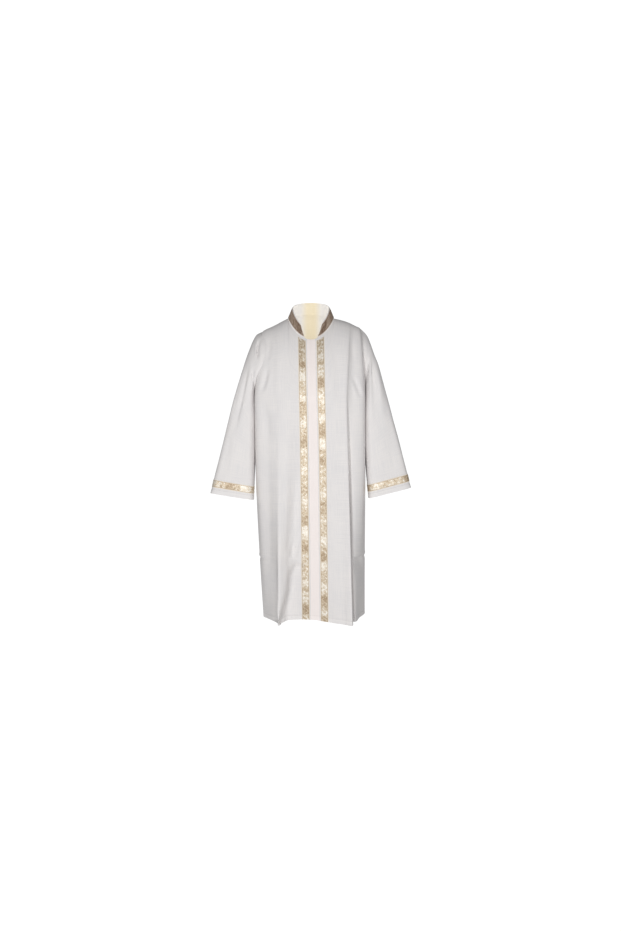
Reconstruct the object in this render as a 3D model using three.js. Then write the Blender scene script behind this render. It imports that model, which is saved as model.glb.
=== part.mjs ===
// Prayer robe in its worn shape: open front over an underlap, stand collar, long straight sleeves.
// Millimetres, +Z up, +X towards the wearer's left side, the front faces -Y.
// The origin lies midway between the two side neck points, where the shoulders carry the robe.
import * as THREE from "three";

const cloth = 1.6; // thickness of the robe cloth
const halfCloth = cloth / 2;
const seamGap = 0.3; // gap between two pieces that are sewn together
const trimThick = 1.0; // woven trim that lies on the cloth
const liningThick = 1.2; // cream cloth inside the collar and the back neck

const armpitZ = -340;
const frontEdge = 17; // from the centre front line to the edge of either front
const trimMargin = 4; // plain cloth between an edge and the trim beside it
const trimWidth = 32;
const trimInner = frontEdge + trimMargin;
const trimOuter = trimInner + trimWidth;
const collarEnd = 25; // from the centre front line to either end of the collar
const underlapHalf = 40; // half the width of the strip behind the two front edges

// The neckline. Its powers square off the curve (round) and say how late it dips (drop, rise).
const neck = {
  halfWidth: 97,
  sideY: 8,
  frontReach: 100,
  frontDrop: 106,
  backReach: 72,
  backRise: 36,
  roundPower: 0.8,
  dropPower: 1.5,
  risePower: 1.05,
};
const shoulder = { x: 208, y: 2, leftZ: -44, leftArch: 6, rightZ: -59, rightArch: 0 };
const collar = {
  height: 48,
  frontLean: 20,
  sideLean: 25,
  backLean: 12,
  clear: 0.75, // gap above the neckline, so that the seams stay open
  endSlant: 20, // how far the top of either end lies behind its foot
  slantReach: 70, // the stretch from an end over which the slant fades
};

const lowerRows = 11; // rows of panel cells from the hem to the armpit
const upperRows = 9; // rows from the armpit to the neck and shoulder line
const facingRows = 5; // rows of the back panel that the back neck facing covers
const trimTop = 1.94; // height, on the body's scale, where the front trims end under the collar

const right = -1; // the wearer's right side lies at -X
const left = 1;
const topAtTrim = Math.asin(trimOuter / neck.halfWidth) / (Math.PI / 2);

function table(columns, rows) {
  return rows.map((row) => Object.fromEntries(columns.map((column, i) => [column, row[i]])));
}

// The fold lines of the body, once round from the centre front past the wearer's left side.
// A line runs from its place in the chest ring to its place at the hem. power says how soon it leaves
// the chest shape, and top where it ends above: 0 centre neck, 1 side neck point, 2 shoulder point.
const stations = table(
  ["name", "chestX", "chestY", "hemX", "hemY", "hemZ", "power", "top", "steps"],
  [
    ["centre front", 4, -124, 17, -92, -1244, 0.4, 0, 1],
    ["left trim edge", 57, -125, 71, -103, -1249, 0.55, topAtTrim, 3],
    ["left neck", 94, -125, 99, -112, -1252, 1.0, 1, 1],
    ["left fold foot", 120, -124, 130, -122, -1254, 1.0, 1.32, 2],
    ["left fold edge", 141, -119, 165, -137, -1256, 0.9, 1.62, 2],
    ["left fold under", 147, -110, 152, -100, -1256, 0.8, 1.67, 2],
    ["left side plane", 161, -99, 178, -88, -1256, 0.8, 1.74, 2],
    ["left side front", 199, -62, 202, -4, -1257, 1.0, 1.9, 3],
    ["left side seam", 222, 2, 233, 92, -1258, 1.1, 2, 2],
    ["left back corner", 204, 60, 222, 140, -1258, 1.2, 1.88, 3],
    ["left back hollow", 168, 94, 180, 121, -1258, 1.3, 1.6, 3],
    ["left back fold", 132, 109, 145, 158, -1258, 1.3, 1.3, 3],
    ["left back neck", 94, 116, 101, 127, -1258, 1.4, 1, 3],
    ["left back ripple", 47, 120, 54, 163, -1258, 1.4, 0.35, 3],
    ["centre back", -5, 119, 4, 131, -1258, 1.4, 0, 3],
    ["right back ripple", -57, 120, -46, 161, -1258, 1.4, 0.35, 3],
    ["right back neck", -104, 116, -90, 124, -1258, 1.4, 1, 3],
    ["right back fold", -142, 108, -130, 150, -1258, 1.3, 1.3, 3],
    ["right back hollow", -178, 92, -160, 108, -1257, 1.3, 1.6, 3],
    ["right back corner", -212, 58, -188, 94, -1257, 1.2, 1.88, 2],
    ["right side seam", -233, 2, -200, 26, -1257, 2.0, 2, 3],
    ["right side front", -208, -64, -186, -24, -1257, 1.6, 1.88, 2],
    ["right side plane", -168, -98, -158, -52, -1257, 0.9, 1.66, 2],
    ["right fold under", -147, -109, -124, -91, -1257, 1.3, 1.52, 2],
    ["right fold edge", -134, -119, -130, -132, -1256, 1.1, 1.45, 2],
    ["right fold foot", -110, -124, -104, -106, -1251, 1.2, 1.16, 1],
    ["right neck", -92, -125, -89, -84, -1246, 1.5, 1, 3],
    ["right trim edge", -49, -125, -37, -80, -1243, 0.7, topAtTrim, 1],
  ],
);

let girth = 0;
stations.forEach((station, i) => {
  const next = stations[(i + 1) % stations.length];
  station.arc = girth;
  girth += Math.hypot(next.chestX - station.chestX, next.chestY - station.chestY);
});
const arcOf = (name) => stations.find((station) => station.name === name).arc;
const leftSeam = arcOf("left side seam");
const rightSeam = arcOf("right side seam");
const centreBack = arcOf("centre back");

const mix = (from, to, share) => from + (to - from) * share;

// A smooth curve from b to c that also heeds the points a before and d after them.
function curveThrough([a, b, c, d], share) {
  const before = Math.sqrt(a.distanceTo(b));
  const during = Math.sqrt(b.distanceTo(c));
  const after = Math.sqrt(c.distanceTo(d));
  const slope = (p, q, r, first, second) =>
    q.clone().sub(p).divideScalar(first)
      .sub(r.clone().sub(p).divideScalar(first + second))
      .add(r.clone().sub(q).divideScalar(second));
  const start = slope(a, b, c, before, during).multiplyScalar(during);
  const end = slope(b, c, d, during, after).multiplyScalar(during);
  const square = share * share;
  const cube = square * share;
  return b.clone().multiplyScalar(2 * cube - 3 * square + 1)
    .addScaledVector(start, cube - 2 * square + share)
    .addScaledVector(c, 3 * square - 2 * cube)
    .addScaledVector(end, cube - square);
}

// Which stretch between two fold lines an arc length falls in, and how far along it.
function stretchAt(arc) {
  const place = ((arc % girth) + girth) % girth;
  let index = stations.length - 1;
  while (stations[index].arc > place) index -= 1;
  const end = index + 1 < stations.length ? stations[index + 1].arc : girth;
  return { index, share: (place - stations[index].arc) / (end - stations[index].arc) };
}

// The body below the armpit: height 0 is the hem and 1 the chest ring.
function skirtPoint(arc, height) {
  const { index, share } = stretchAt(arc);
  const around = [-1, 0, 1, 2].map((step) => {
    const station = stations[(index + step + stations.length) % stations.length];
    const opened = Math.pow(1 - height, station.power);
    return new THREE.Vector3(
      mix(station.chestX, station.hemX, opened),
      mix(station.chestY, station.hemY, opened),
      mix(armpitZ, station.hemZ, 1 - height),
    );
  });
  return curveThrough(around, share);
}

// The neckline at an angle from the centre front, positive towards the wearer's left.
function neckPoint(angle) {
  const forward = Math.cos(angle);
  const x = neck.halfWidth * Math.sin(angle);
  if (forward > 0) {
    const reach = neck.frontReach * forward ** neck.roundPower;
    return new THREE.Vector3(x, neck.sideY - reach, -neck.frontDrop * forward ** neck.dropPower);
  }
  const rise = neck.backRise * (-forward) ** neck.risePower;
  return new THREE.Vector3(x, neck.sideY - neck.backReach * forward, rise);
}

// Where a fold line ends above: on the neckline or on the shoulder line.
function topOf(arc) {
  const { index, share } = stretchAt(arc);
  const next = stations[(index + 1) % stations.length];
  const fromCentre = Math.min(arc, girth - arc);
  const nearFront = fromCentre < trimOuter;
  const top = nearFront
    ? Math.asin(fromCentre / neck.halfWidth) / (Math.PI / 2)
    : mix(stations[index].top, next.top, share);
  const side = arc < centreBack ? left : right;
  const back = arc > leftSeam && arc < rightSeam;
  const turn = (Math.min(top, 1) * Math.PI) / 2;
  return { top, side, back, angle: side * (back ? Math.PI - turn : turn) };
}

// The shoulder line from the side neck point, share 0, to the shoulder point, share 1.
function shoulderPoint(side, share) {
  const z = side === left ? shoulder.leftZ : shoulder.rightZ;
  const arch = side === left ? shoulder.leftArch : shoulder.rightArch;
  return new THREE.Vector3(
    side * mix(neck.halfWidth, shoulder.x, share),
    mix(neck.sideY, shoulder.y, share),
    z * share + arch * Math.sin(Math.PI * share),
  );
}

function topPoint(arc) {
  const { top, side, angle } = topOf(arc);
  return top <= 1 ? neckPoint(angle) : shoulderPoint(side, top - 1);
}

// The body above the armpit: rise 0 is the chest ring and 1 the neck and shoulder line.
// Each line bends over like part of a rounded square: a full quarter turn where it ends on the
// shoulder, and less towards the middle of the neckline, where the cloth still stands steeply.
const yoke = {
  frontTurn: 50,
  backTurn: 74,
  shoulderTurn: 90,
  turnPower: 3,
  neckSquareness: 2.0,
  shoulderSquareness: 2.25,
};

function yokePoint(arc, rise) {
  const chest = skirtPoint(arc, 1);
  const end = topPoint(arc);
  const { top, back } = topOf(arc);
  const middleTurn = back ? yoke.backTurn : yoke.frontTurn;
  const sideShare = Math.min(top, 1) ** yoke.turnPower;
  const fullTurn = THREE.MathUtils.degToRad(mix(middleTurn, yoke.shoulderTurn, sideShare));
  const power = 2 / mix(yoke.neckSquareness, yoke.shoulderSquareness, Math.max(top - 1, 0));
  const unturned = Math.max(Math.cos(fullTurn), 0) ** power;
  const over = (Math.max(Math.cos(rise * fullTurn), 0) ** power - unturned) / (1 - unturned);
  const up = (Math.sin(rise * fullTurn) / Math.sin(fullTurn)) ** power;
  return new THREE.Vector3(
    mix(chest.x, end.x, rise),
    mix(end.y, chest.y, over),
    mix(chest.z, end.z, up),
  );
}

// One height scale for the whole body: 0 hem, 1 armpit, 2 neck and shoulder line.
function bodyPoint(arc, height) {
  const wrapped = ((arc % girth) + girth) % girth;
  return height <= 1 ? skirtPoint(wrapped, height) : yokePoint(wrapped, height - 1);
}

const normalStep = { arc: 2, height: 0.04 };
function bodyNormal(arc, height) {
  const along = bodyPoint(arc + normalStep.arc, height).sub(bodyPoint(arc - normalStep.arc, height));
  const above = Math.min(height + normalStep.height, 2);
  const up = bodyPoint(arc, above).sub(bodyPoint(arc, height - normalStep.height));
  return along.cross(up).normalize();
}

// The armholes bite into the panels. The cloth beside a seam closes up by a share of its own width,
// from nothing at frontKeep from the centre front, or at backReach behind the seam.
const armhole = {
  frontLeft: 0.36,
  frontRight: 0.7,
  back: 0.42,
  frontKeep: 150,
  backReach: 150,
  bowPower: 0.8,
  lap: cloth + 2 * seamGap,
};

function besideArmhole(arc, height) {
  const bow = Math.sin(Math.PI * Math.max(height - 1, 0) ** armhole.bowPower);
  const byLeft = arc <= centreBack;
  const seam = byLeft ? leftSeam : rightSeam;
  const inFront = arc <= leftSeam || arc >= rightSeam;
  const frontShare = byLeft ? armhole.frontLeft : armhole.frontRight;
  const share = inFront ? frontShare : armhole.back;
  const reach = inFront ? Math.min(seam, girth - seam) - armhole.frontKeep : armhole.backReach;
  const inwards = byLeft === inFront ? -1 : 1;
  return arc + inwards * Math.max(reach - Math.abs(arc - seam), 0) * share * bow;
}

function bodyVertex(arc, height) {
  const place = besideArmhole(arc, height);
  return { point: bodyPoint(place, height), normal: bodyNormal(place, height) };
}

// A closed wall over a grid of vertices, from low to high along their normals.
function wall(grid, low, high, joined = false) {
  const rows = grid.length;
  const columns = grid[0].length;
  const positions = [];
  for (const offset of [low, high])
    for (const row of grid)
      for (const { point, normal } of row)
        positions.push(...point.clone().addScaledVector(normal, offset).toArray());
  const corner = (side, row, column) => (side * rows + row) * columns + (column % columns);
  const faces = [];
  const quad = (a, b, c, d) => faces.push(a, b, c, a, c, d);
  const lastColumn = joined ? columns : columns - 1;
  for (let row = 0; row < rows - 1; row++)
    for (let column = 0; column < lastColumn; column++) {
      quad(
        corner(1, row, column), corner(1, row, column + 1),
        corner(1, row + 1, column + 1), corner(1, row + 1, column),
      );
      quad(
        corner(0, row, column), corner(0, row + 1, column),
        corner(0, row + 1, column + 1), corner(0, row, column + 1),
      );
    }
  for (let column = 0; column < lastColumn; column++) {
    const top = rows - 1;
    quad(corner(0, 0, column), corner(0, 0, column + 1), corner(1, 0, column + 1), corner(1, 0, column));
    quad(
      corner(0, top, column), corner(1, top, column),
      corner(1, top, column + 1), corner(0, top, column + 1),
    );
  }
  for (let row = 0; row < rows - 1 && !joined; row++) {
    const end = columns - 1;
    quad(corner(0, row, 0), corner(1, row, 0), corner(1, row + 1, 0), corner(0, row + 1, 0));
    quad(corner(0, row, end), corner(0, row + 1, end), corner(1, row + 1, end), corner(1, row, end));
  }
  const geometry = new THREE.BufferGeometry();
  geometry.setAttribute("position", new THREE.Float32BufferAttribute(positions, 3));
  geometry.setIndex(facingOut(positions, faces));
  geometry.computeVertexNormals();
  return geometry;
}

// Turns every face round if together they enclose a negative volume.
function facingOut(positions, faces) {
  const corners = [0, 1, 2].map(() => new THREE.Vector3());
  let volume = 0;
  for (let i = 0; i < faces.length; i += 3) {
    corners.forEach((corner, k) => corner.fromArray(positions, faces[i + k] * 3));
    volume += corners[0].dot(corners[1].clone().cross(corners[2]));
  }
  if (volume > 0) return faces;
  return faces.map((face, i) => (i % 3 === 0 ? face : faces[i % 3 === 1 ? i + 1 : i - 1]));
}

// The columns of the panels: the fold lines, the steps between them and those at the front edges.
const foldColumns = stations.flatMap((station, i) => {
  const end = i + 1 < stations.length ? stations[i + 1].arc : girth;
  return Array.from({ length: station.steps }, (_, step) => mix(station.arc, end, step / station.steps));
});
const between = (from, to) => foldColumns.filter((arc) => arc > from + seamGap && arc < to - seamGap);

const leftEdgeColumns = [frontEdge, trimInner, collarEnd, underlapHalf];
const rightEdgeColumns = leftEdgeColumns.map((distance) => girth - distance).reverse();
const frontLeftColumns = [
  ...leftEdgeColumns,
  ...between(underlapHalf, leftSeam),
  leftSeam - seamGap / 2,
];
const frontRightColumns = [
  rightSeam + seamGap / 2,
  ...between(rightSeam, girth - underlapHalf),
  ...rightEdgeColumns,
];
const backColumns = [leftSeam + seamGap / 2, ...between(leftSeam, rightSeam), rightSeam - seamGap / 2];

const rows = [];
for (let i = 0; i < lowerRows; i++) rows.push(i / lowerRows);
for (let i = 0; i <= upperRows; i++) rows.push(1 + i / upperRows);
rows.splice(-1, 0, trimTop);

// A panel's vertices. Fronts and back part at the shoulder seam, where each has its own small step.
const shoulderStep = { front: -seamGap / 2, back: seamGap / 2 };
function panelGrid(columns, rowList, step = 0) {
  return rowList.map((height) =>
    columns.map((arc) => {
      const vertex = bodyVertex(arc, height);
      if (height === 2) {
        vertex.point.y += step;
        if (topOf(arc).top > 1) vertex.normal.setY(0).normalize();
      }
      return vertex;
    }),
  );
}

// The collar stands on the neckline and leans in towards the neck.
const near = 0.01;
const endsOnNeck = (arc) => topOf(arc).top < 1 + near;
const isCollarColumn = (arc) => Math.min(arc, girth - arc) >= collarEnd && endsOnNeck(arc);
const neckArcs = [
  ...frontRightColumns.filter(isCollarColumn).reverse(),
  ...backColumns.filter(isCollarColumn).reverse().slice(1, -1),
  ...frontLeftColumns.filter(isCollarColumn).reverse(),
];

function collarVertex(column, height) {
  const fromEnd = Math.min(column, girth - column) - collarEnd;
  const slant = collar.endSlant * Math.max(1 - fromEnd / collar.slantReach, 0) * (height / collar.height);
  const arc = column < centreBack ? column + slant : column - slant;
  const { angle } = topOf(arc);
  const seam = topPoint(arc);
  const forward = Math.cos(angle);
  const endLean = forward > 0 ? collar.frontLean : collar.backLean;
  const lean = THREE.MathUtils.degToRad(mix(collar.sideLean, endLean, Math.abs(forward)));
  const rise = new THREE.Vector3(
    -Math.sin(angle) * Math.sin(lean),
    forward * Math.sin(lean),
    Math.cos(lean),
  );
  const along = neckPoint(angle + near).sub(neckPoint(angle - near)).normalize();
  const normal = along.clone().cross(rise).normalize();
  const upright = rise.clone().addScaledVector(along, -rise.dot(along));
  const square = Math.max(upright.dot(bodyNormal(arc, 2)) / upright.length(), 0);
  const clear = (collar.clear + halfCloth * square) / upright.length();
  return { point: seam.addScaledVector(rise, clear + height), normal };
}

const collarRows = [0, trimMargin, collar.height / 2, collar.height - trimMargin, collar.height];
const collarGrid = (heights) => heights.map((height) => neckArcs.map((arc) => collarVertex(arc, height)));

// A sleeve: its outer and inner lines seen from the front, from the cuff up to the armhole, and the
// rings that join them. Its first ring is the armhole itself, lapped over the edge of the panels.
const sleeve = {
  outerLine: table(
    ["z", "leftX", "rightX"],
    [
      [-70, 233, 228],
      [-92, 244, 242],
      [-142, 261, 261],
      [-225, 286, 286],
      [-340, 317, 317],
    ],
  ),
  outerCuff: { leftX: 413, leftZ: -708, rightX: 415, rightZ: -731 },
  innerCuff: { leftX: 240, leftZ: -752, rightX: 241, rightZ: -759 },
  innerElbow: { leftX: 231, rightX: 238, z: -540 },
  capRings: 3, // rings over which the armhole's shape fades into the sleeve's own
  cuffFrom: 60, // up to here from the cuff the rings keep their distances
  cuffTo: 400, // from here on they are spread in proportion
};
const rings = table(
  ["outerUp", "innerUp", "halfDepth", "middleY"],
  [
    [700, 419, 64, 0],
    [650, 410, 68, 0],
    [590, 396, 70, -1],
    [510, 368, 69, -3],
    [420, 322, 66, -6],
    [330, 266, 62, -10],
    [240, 205, 58, -14],
    [150, 138, 52, -18],
    [56, 56, 47, -21],
    [26, 26, 46, -22],
    [0, 0, 45, -23],
  ],
);
const cuffTrimRings = [8, 9];
const lastRing = rings.length - 1;

// Soft folds that run down a sleeve: angle is measured round it from the outer line to the front.
const foldFade = 0.7; // the lower, the further a fold keeps its depth towards its ends
const sleeveFolds = table(
  ["fromRing", "toRing", "startAngle", "endAngle", "width", "depth"],
  [
    [0.5, 8.5, 28, 78, 22, -9],
    [1.0, 9.5, 70, 118, 26, 7],
    [2.0, 9.0, -50, -80, 26, -8],
    [2.5, 9.5, -105, -120, 28, 7],
  ],
);

// A point of the armhole: way 0 is the armpit and 1 the shoulder point. A left sleeve goes up the
// front edge first and down the back one from 1 to 2, a right sleeve the other way round.
function armholePoint(side, way) {
  const rise = way <= 1 ? way : 2 - way;
  const seam = side === left ? leftSeam : rightSeam;
  const away = (side === left) === (way <= 1) ? -1 : 1;
  const vertex = bodyVertex(seam + (away * seamGap) / 2, 1 + rise);
  return vertex.point.addScaledVector(vertex.normal, armhole.lap);
}

// The point at a distance along a smooth line through the given points.
function lineAt(points, distanceUp) {
  let up = 0;
  for (let i = 0; i + 1 < points.length; i++) {
    const length = points[i].distanceTo(points[i + 1]);
    if (distanceUp <= up + length || i + 2 === points.length) {
      const around = [Math.max(i - 1, 0), i, i + 1, Math.min(i + 2, points.length - 1)];
      const four = around.map((index) => points[index].clone());
      if (i === 0) four[0].multiplyScalar(2).sub(points[1]);
      if (i + 2 === points.length) four[3].multiplyScalar(2).sub(points[i]);
      return curveThrough(four, (distanceUp - up) / length);
    }
    up += length;
  }
  return points[0].clone();
}

function sleeveLines(side) {
  const xOf = side === left ? "leftX" : "rightX";
  const zOf = side === left ? "leftZ" : "rightZ";
  const flat = (x, z) => new THREE.Vector3(side * x, 0, z);
  const outer = [
    flat(sleeve.outerCuff[xOf], sleeve.outerCuff[zOf]),
    ...sleeve.outerLine.map((place) => flat(place[xOf], place.z)).reverse(),
    flat(shoulder.x, shoulder[zOf]),
  ];
  const inner = [
    flat(sleeve.innerCuff[xOf], sleeve.innerCuff[zOf]),
    flat(sleeve.innerElbow[xOf], sleeve.innerElbow.z),
    flat(Math.abs(armholePoint(side, 0).x), armpitZ),
  ];
  return { outer, inner };
}

function lengthOf(points) {
  return points.slice(1).reduce((sum, point, i) => sum + point.distanceTo(points[i]), 0);
}

// A sleeve's surface as a function of the way round it and the ring number, from the armhole down.
function sleeveSurface(side) {
  const { outer, inner } = sleeveLines(side);
  const outerScale = lengthOf(outer) / rings[0].outerUp;
  const innerScale = lengthOf(inner) / rings[0].innerUp;
  const ringAt = (ring) => {
    const index = Math.min(Math.floor(ring), lastRing - 1);
    const share = ring - index;
    const value = (column) => mix(rings[index][column], rings[index + 1][column], share);
    const spread = THREE.MathUtils.smoothstep(value("outerUp"), sleeve.cuffFrom, sleeve.cuffTo);
    const top = lineAt(outer, value("outerUp") * mix(1, outerScale, spread));
    const under = lineAt(inner, value("innerUp") * mix(1, innerScale, spread));
    const across = top.clone().sub(under);
    const middle = top.clone().add(under).multiplyScalar(0.5);
    middle.y = value("middleY");
    return { middle, half: across.length() / 2, across: across.normalize(), depth: value("halfDepth") };
  };
  const first = ringAt(0);
  const angleAt = (way) => {
    const from = armholePoint(side, way).sub(first.middle);
    return Math.atan2(-from.y / first.depth, from.dot(first.across) / first.half);
  };
  const onRing = (ring, angle) =>
    ring.middle.clone()
      .addScaledVector(ring.across, ring.half * Math.cos(angle))
      .add(new THREE.Vector3(0, -ring.depth * Math.sin(angle), 0));
  return (wayRound, ring) => {
    const way = (wayRound + 2) % 2;
    const angle = angleAt(way);
    const shape = ringAt(ring);
    const place = onRing(shape, angle);
    const cap = 1 - THREE.MathUtils.smoothstep(ring, 0, sleeve.capRings);
    place.addScaledVector(armholePoint(side, way).sub(onRing(first, angle)), cap);
    const outward = place.clone().sub(shape.middle).normalize();
    for (const fold of sleeveFolds) {
      const along = (ring - fold.fromRing) / (fold.toRing - fold.fromRing);
      if (along <= 0 || along >= 1) continue;
      const centre = THREE.MathUtils.degToRad(mix(fold.startAngle, fold.endAngle, along));
      const off = (angle - centre) / THREE.MathUtils.degToRad(fold.width);
      const strength = Math.sin(Math.PI * along) ** foldFade * Math.exp(-off * off);
      place.addScaledVector(outward, fold.depth * strength);
    }
    return place;
  };
}

const sleeveWays = Array.from({ length: 2 * upperRows }, (_, i) => i / upperRows);
const sleeveStep = { way: 0.02, ring: 0.08 };

function sleeveGrid(side, pointOf, ringList) {
  return ringList.map((ring) =>
    sleeveWays.map((way) => {
      const above = pointOf(way, Math.max(ring - sleeveStep.ring, 0));
      const up = above.sub(pointOf(way, Math.min(ring + sleeveStep.ring, lastRing)));
      const along = pointOf(way + sleeveStep.way, ring).sub(pointOf(way - sleeveStep.way, ring));
      return { point: pointOf(way, ring), normal: along.cross(up).normalize().multiplyScalar(side) };
    }),
  );
}

const robeCloth = new THREE.MeshStandardMaterial({ color: 0xe4dfdc, roughness: 0.85, metalness: 0 });
const creamCloth = new THREE.MeshStandardMaterial({ color: 0xeee0c4, roughness: 0.8, metalness: 0 });
const goldBrocade = new THREE.MeshStandardMaterial({ color: 0xc9a468, roughness: 0.45, metalness: 0.5 });

const group = new THREE.Group();
function addPiece(name, material, grid, low, high, joined = false) {
  const mesh = new THREE.Mesh(wall(grid, low, high, joined), material);
  mesh.name = name;
  group.add(mesh);
}

// The layers of cloth, measured from the middle of the robe cloth outwards.
const trimLow = halfCloth + seamGap;
const trimHigh = trimLow + trimThick;
const linerLow = -trimLow - liningThick;
const underlapLow = -trimLow - cloth;

const frontLeft = panelGrid(frontLeftColumns, rows, shoulderStep.front);
const frontRight = panelGrid(frontRightColumns, rows, shoulderStep.front);
addPiece("front_left", robeCloth, frontLeft, -halfCloth, halfCloth);
addPiece("front_right", robeCloth, frontRight, -halfCloth, halfCloth);
addPiece("back", robeCloth, panelGrid(backColumns, rows, shoulderStep.back), -halfCloth, halfCloth);

const underlapColumns = [
  ...rightEdgeColumns,
  girth,
  ...leftEdgeColumns.map((distance) => girth + distance),
];
addPiece("underlap", robeCloth, panelGrid(underlapColumns, rows), underlapLow, -trimLow);

const trimRows = rows.slice(0, -1);
const onTrim = (arc) => {
  const fromCentre = Math.min(arc, girth - arc);
  return fromCentre > trimInner - seamGap && fromCentre < trimOuter + seamGap;
};
for (const [name, columns] of [["left", frontLeftColumns], ["right", frontRightColumns]])
  addPiece("trim_front_" + name, goldBrocade, panelGrid(columns.filter(onTrim), trimRows), trimLow, trimHigh);

addPiece("collar", robeCloth, collarGrid(collarRows), -halfCloth, halfCloth);
addPiece("trim_collar", goldBrocade, collarGrid(collarRows.slice(1, -1)), trimLow, trimHigh);
addPiece("collar_lining", creamCloth, collarGrid(collarRows), linerLow, -trimLow);

const facingColumns = backColumns.filter(endsOnNeck);
const facing = panelGrid(facingColumns, rows.slice(-1 - facingRows), shoulderStep.back);
addPiece("neck_facing", creamCloth, facing, linerLow, -trimLow);

for (const [side, name] of [[left, "left"], [right, "right"]]) {
  const pointOf = sleeveSurface(side);
  const sleeveGridOf = (ringList) => sleeveGrid(side, pointOf, ringList);
  addPiece("sleeve_" + name, robeCloth, sleeveGridOf([...rings.keys()]), -halfCloth, halfCloth, true);
  addPiece("trim_cuff_" + name, goldBrocade, sleeveGridOf(cuffTrimRings), trimLow, trimHigh, true);
}

export default group;
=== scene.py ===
import math

import bpy
import numpy as np
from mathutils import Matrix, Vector


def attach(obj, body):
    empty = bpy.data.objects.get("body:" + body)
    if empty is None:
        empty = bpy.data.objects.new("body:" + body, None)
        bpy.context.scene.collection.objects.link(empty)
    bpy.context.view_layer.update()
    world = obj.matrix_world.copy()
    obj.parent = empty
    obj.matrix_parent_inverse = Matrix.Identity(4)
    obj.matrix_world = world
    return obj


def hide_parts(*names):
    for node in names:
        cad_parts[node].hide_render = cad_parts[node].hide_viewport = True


# Prayer robe: fine cloth, ribbons and stitches over the frame. Shapes are worked out in millimetres,
# +Z up, +X towards the wearer's left, front towards -Y, and become metres where a mesh is made.
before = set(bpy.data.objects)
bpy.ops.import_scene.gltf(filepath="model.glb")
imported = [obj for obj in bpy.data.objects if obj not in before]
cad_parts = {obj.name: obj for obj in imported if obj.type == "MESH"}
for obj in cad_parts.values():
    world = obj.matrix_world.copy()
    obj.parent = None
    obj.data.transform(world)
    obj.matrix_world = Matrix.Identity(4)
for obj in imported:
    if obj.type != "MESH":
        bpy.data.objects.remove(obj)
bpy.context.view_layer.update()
print("stage: frame loaded,", len(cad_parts), "nodes")

cloth = dict(thick=1.6, seamGap=0.3, trim=1.0, lining=1.2, armpitZ=-340.0)
edges = dict(front=17.0, trimInner=21.0, trimOuter=53.0, underlapHalf=40.0, collarEnd=25.0)
neck = dict(
    halfWidth=97.0, sideY=8.0, frontReach=100.0, frontDrop=106.0, backReach=72.0, backRise=36.0,
    roundPower=0.8, dropPower=1.5, risePower=1.05,
)
shoulder = dict(x=208.0, y=2.0, leftZ=-44.0, leftArch=6.0, rightZ=-59.0, rightArch=0.0)
yoke = dict(
    frontTurn=50.0, backTurn=74.0, shoulderTurn=90.0, turnPower=3.0, neckSquare=2.0, shoulderSquare=2.25,
)
topAtTrim = math.asin(edges["trimOuter"] / neck["halfWidth"]) / (math.pi / 2)

# The fold lines once round the body: chest x and y, hem x, y and z, how soon the line leaves the chest
# shape, and where it ends above (0 centre neck, 1 side neck point, 2 shoulder point).
foldLines = np.array([
    (4, -124, 17, -92, -1244, 0.4, 0),  # centre front
    (57, -125, 71, -103, -1249, 0.55, topAtTrim),
    (94, -125, 99, -112, -1252, 1.0, 1),
    (120, -124, 130, -122, -1254, 1.0, 1.32),
    (141, -119, 165, -137, -1256, 0.9, 1.62),  # left fold edge
    (147, -110, 163, -66, -1256, 0.8, 1.67),
    (160, -101, 179, -89, -1251, 1.6, 1.74),
    (213, -84, 202, -1, -1257, 2.2, 1.9),
    (222, 2, 233, 92, -1258, 1.1, 2),  # left side seam
    (204, 60, 222, 140, -1258, 1.2, 1.88),
    (168, 94, 180, 121, -1258, 1.3, 1.6),
    (132, 109, 145, 158, -1258, 1.3, 1.3),
    (94, 116, 101, 127, -1258, 1.4, 1),
    (47, 120, 54, 163, -1258, 1.4, 0.35),
    (-5, 119, 4, 131, -1258, 1.4, 0),  # centre back
    (-57, 120, -46, 161, -1258, 1.4, 0.35),
    (-104, 116, -90, 124, -1258, 1.4, 1),
    (-142, 108, -130, 150, -1258, 1.3, 1.3),
    (-178, 92, -160, 108, -1257, 1.3, 1.6),
    (-212, 58, -188, 94, -1257, 1.2, 1.88),
    (-233, 2, -200, 26, -1257, 2.0, 2),  # right side seam
    (-223, -78, -188, 2, -1257, 1.7, 1.88),
    (-172, -104, -157, -47, -1257, 1.6, 1.66),
    (-148, -112, -133, -95, -1257, 2.5, 1.54),
    (-127, -120, -130, -132, -1256, 1.6, 1.42),  # right fold edge
    (-110, -124, -104, -106, -1251, 1.2, 1.16),
    (-92, -125, -89, -84, -1246, 1.5, 1),
    (-49, -125, -37, -80, -1243, 0.7, topAtTrim),
])
chestXY, hemXYZ, linePower, lineTop = foldLines[:, :2], foldLines[:, 2:5], foldLines[:, 5], foldLines[:, 6]
chord = np.linalg.norm(np.roll(chestXY, -1, 0) - chestXY, axis=1)
lineArc = np.concatenate([[0.0], np.cumsum(chord)])
girth = lineArc[-1]
leftSeam, centreBack, rightSeam = lineArc[8], lineArc[14], lineArc[20]


def mix(start, end, share):
    return start + (end - start) * share


def smooth(value, low, high):  # 0 below low, 1 above high, an S curve between
    share = np.clip((value - low) / (high - low), 0, 1)
    return share * share * (3 - 2 * share)


def unit(vectors):
    return vectors / np.maximum(np.linalg.norm(vectors, axis=-1, keepdims=True), 1e-9)


def runOf(points):  # the length of each stretch of a path, and the distance along it at each point
    lengths = np.linalg.norm(np.diff(points, axis=0), axis=1)
    return lengths, np.concatenate([[0], np.cumsum(lengths)])


def cells(rows, columns):  # the row and the column of each cell of a grid
    return (grid.ravel() for grid in np.meshgrid(np.arange(rows), np.arange(columns), indexing="ij"))


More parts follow.
